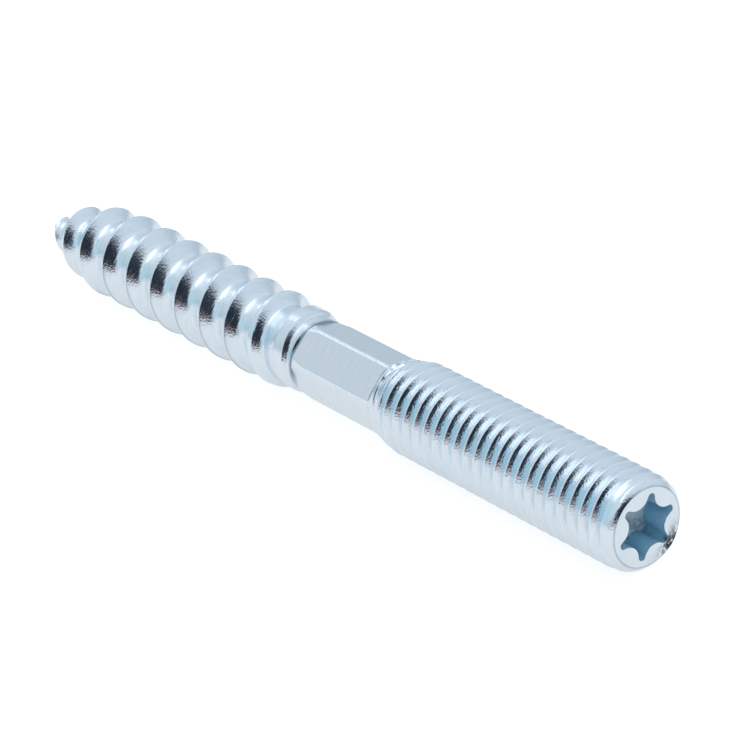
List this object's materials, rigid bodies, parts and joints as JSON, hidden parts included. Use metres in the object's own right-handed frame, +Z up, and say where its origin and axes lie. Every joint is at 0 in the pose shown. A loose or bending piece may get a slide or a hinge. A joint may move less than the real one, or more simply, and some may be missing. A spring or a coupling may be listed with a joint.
{
  "type": "hanger bolt",
  "caption": "Hanger bolt with a pointed coarse wood thread, a pressed hexagon in the middle and a machine thread with a lobed drive recess in its end.",
  "frame": {"origin": "on the bolt's axis, where the hexagon meets the machine thread", "axes": "+X along the bolt towards the machine thread's end face, with the wood point towards -X; +Z up, with the bolt lying on its side"},
  "size_m": [0.0792, 0.008, 0.008],
  "materials": {
    "zinc_plated_steel": "bright zinc plating with a bluish passivation film"
  },
  "bodies": {
    "root": {"hanger_bolt": "zinc_plated_steel"}
  },
  "joints": []
}
